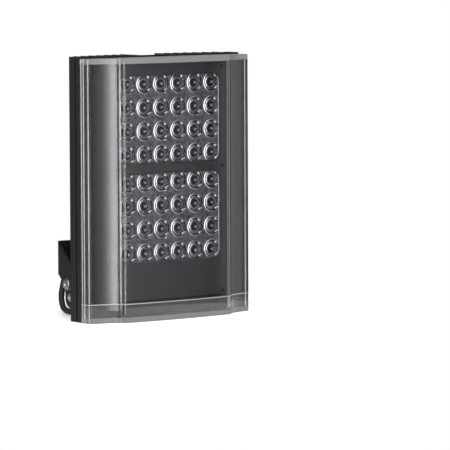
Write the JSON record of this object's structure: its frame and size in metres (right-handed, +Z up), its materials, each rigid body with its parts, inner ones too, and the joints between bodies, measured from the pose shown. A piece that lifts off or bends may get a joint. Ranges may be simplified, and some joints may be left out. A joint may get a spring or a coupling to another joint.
{
  "type": "infrared illuminator",
  "caption": "Infrared floodlight with two rectangular lens arrays behind a clear bowed cover, a finned rear housing and a tilting U bracket.",
  "frame": {"origin": "on the flat bottom, on the plane of symmetry, where the housing flange meets the cover's seal", "axes": "+X to the viewer's right when facing the front, +Y to the rear, +Z up"},
  "size_m": [0.19, 0.1607, 0.2525],
  "materials": {
    "housing_paint": "powder coated aluminium extrusion",
    "clear_cover": "clear polycarbonate",
    "lens_acrylic": "clear moulded acrylic",
    "seal_rubber": "soft gasket",
    "pad_rubber": "grey silicone pad",
    "bezel_plastic": "matt black",
    "black_screw": "black oxide",
    "board_aluminium": "metal-core board",
    "circuit_board": "glass-epoxy board",
    "emitter_package": "ceramic package with clear dome",
    "steel": "zinc plated",
    "bracket_paint": "black powder coat",
    "lead_rubber": "black outdoor sheath"
  },
  "bodies": {
    "lamp": {"heatsink_housing": "housing_paint", "front_cover": "clear_cover", "lower_end_cap": "clear_cover", "seam_seal": "seal_rubber", "cover_seal": "seal_rubber", "bezel_frame": "bezel_plastic", "bezel_screws": "black_screw", "lens_array_upper": "lens_acrylic", "thermal_pad_upper": "pad_rubber", "led_board_upper": "board_aluminium", "led_emitters_upper": "emitter_package", "lens_array_lower": "lens_acrylic", "thermal_pad_lower": "pad_rubber", "led_board_lower": "board_aluminium", "led_emitters_lower": "emitter_package", "board_screws": "steel", "driver_standoffs": "steel", "driver_board": "circuit_board", "driver_inductor": "bezel_plastic", "driver_capacitors": "board_aluminium", "driver_switches": "bezel_plastic", "terminal_block": "bezel_plastic", "cover_screws": "steel", "end_cap_screws": "steel", "gland_body": "bezel_plastic", "gland_nut": "bezel_plastic", "gland_seal": "seal_rubber", "right_ear": "bracket_paint", "left_ear": "bracket_paint", "pivot_bolts": "steel", "pivot_nuts": "steel", "friction_washers": "bezel_plastic", "pivot_washers": "steel", "ear_bolts": "steel", "ear_nuts": "steel", "power_lead": "lead_rubber", "lead_coil": "lead_rubber"},
    "bracket": {"mounting_bracket": "bracket_paint"}
  },
  "joints": [
    {"name": "bracket_tilt", "type": "hinge", "parent": "lamp", "child": "bracket", "pos_m": [0, 0.0308, 0.0342], "axis": [-1, 0, 0], "range_deg": [-8, 60]}
  ]
}
